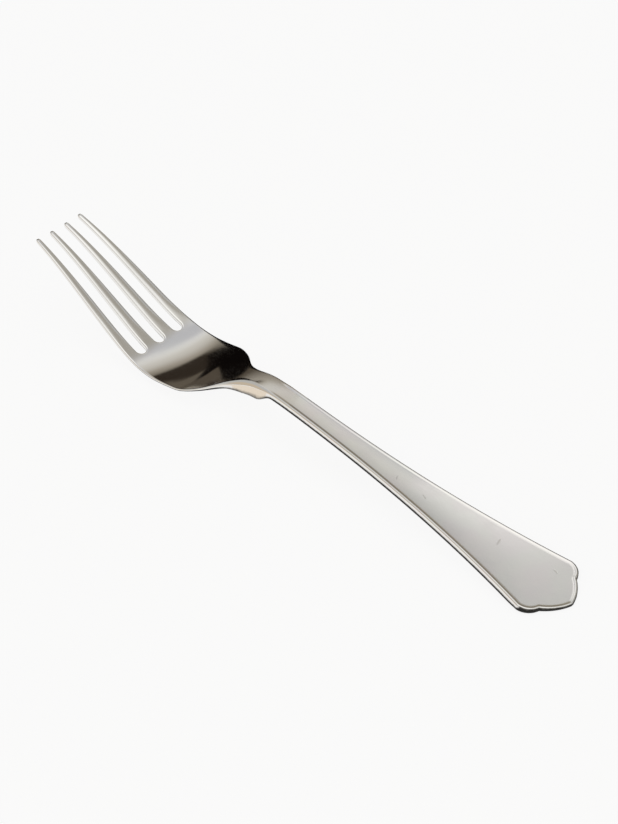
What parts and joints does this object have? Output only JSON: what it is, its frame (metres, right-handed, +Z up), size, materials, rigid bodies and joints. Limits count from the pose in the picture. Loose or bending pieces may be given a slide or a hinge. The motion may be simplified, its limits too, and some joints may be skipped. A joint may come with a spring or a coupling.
{
  "type": "dessert fork",
  "caption": "Dessert fork with a shallow dished head, slender tapering tines, an arched neck and a flat handle that widens to a scalloped, pointed end.",
  "frame": {"origin": "centre of the bounding box's bottom, on the table top that the fork lies on, tines curving up", "axes": "+X along the fork from the handle's end to the tips of the tines, +Y to the left of that, +Z up"},
  "size_m": [0.18, 0.0234, 0.0202],
  "materials": {
    "steel": "polished"
  },
  "bodies": {
    "root": {"handle": "steel", "neck": "steel", "head": "steel", "tine_inner_left": "steel", "tine_outer_left": "steel", "tine_inner_right": "steel", "tine_outer_right": "steel"}
  },
  "joints": []
}
